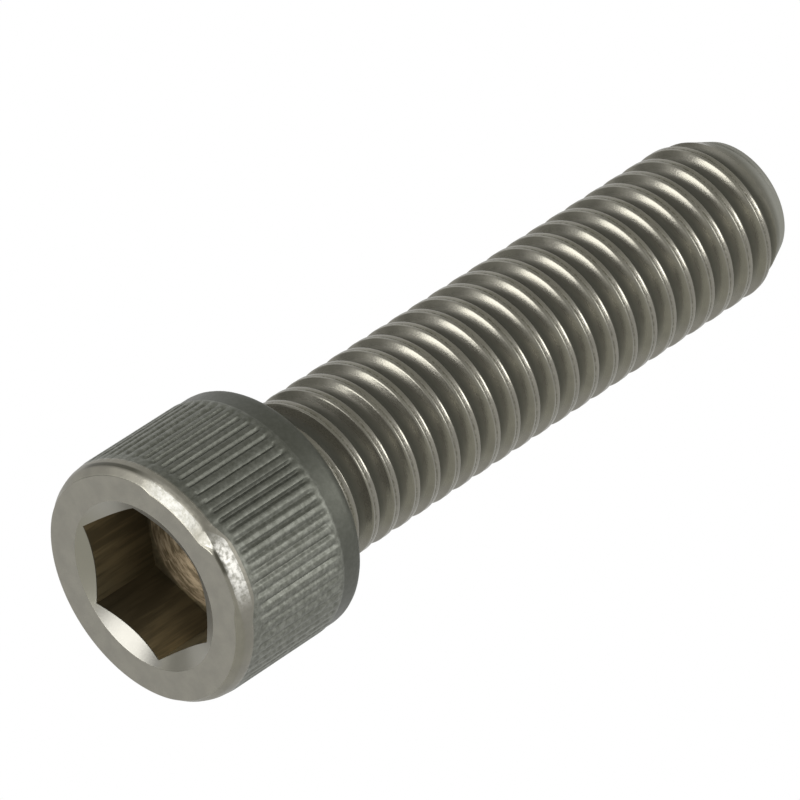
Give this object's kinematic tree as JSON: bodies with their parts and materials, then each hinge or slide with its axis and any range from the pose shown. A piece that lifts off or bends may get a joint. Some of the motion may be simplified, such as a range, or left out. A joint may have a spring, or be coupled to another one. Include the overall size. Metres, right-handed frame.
{
  "type": "hex socket cap screw",
  "caption": "Hex socket cap screw with a straight-knurled cylindrical head, a countersunk hexagonal socket and a shank threaded up to the head.",
  "frame": {"origin": "centre of the head's flat face, at the mouth of the hexagonal socket", "axes": "+Z along the screw's axis, from the face of the head towards the flat end of the thread; +X through the first corner of the hexagon"},
  "size_m": [0.014, 0.014, 0.047],
  "materials": {
    "steel": "bare machined and rolled steel, dull warm grey with bright edges"
  },
  "bodies": {
    "root": {"cap_screw": "steel"}
  },
  "joints": []
}
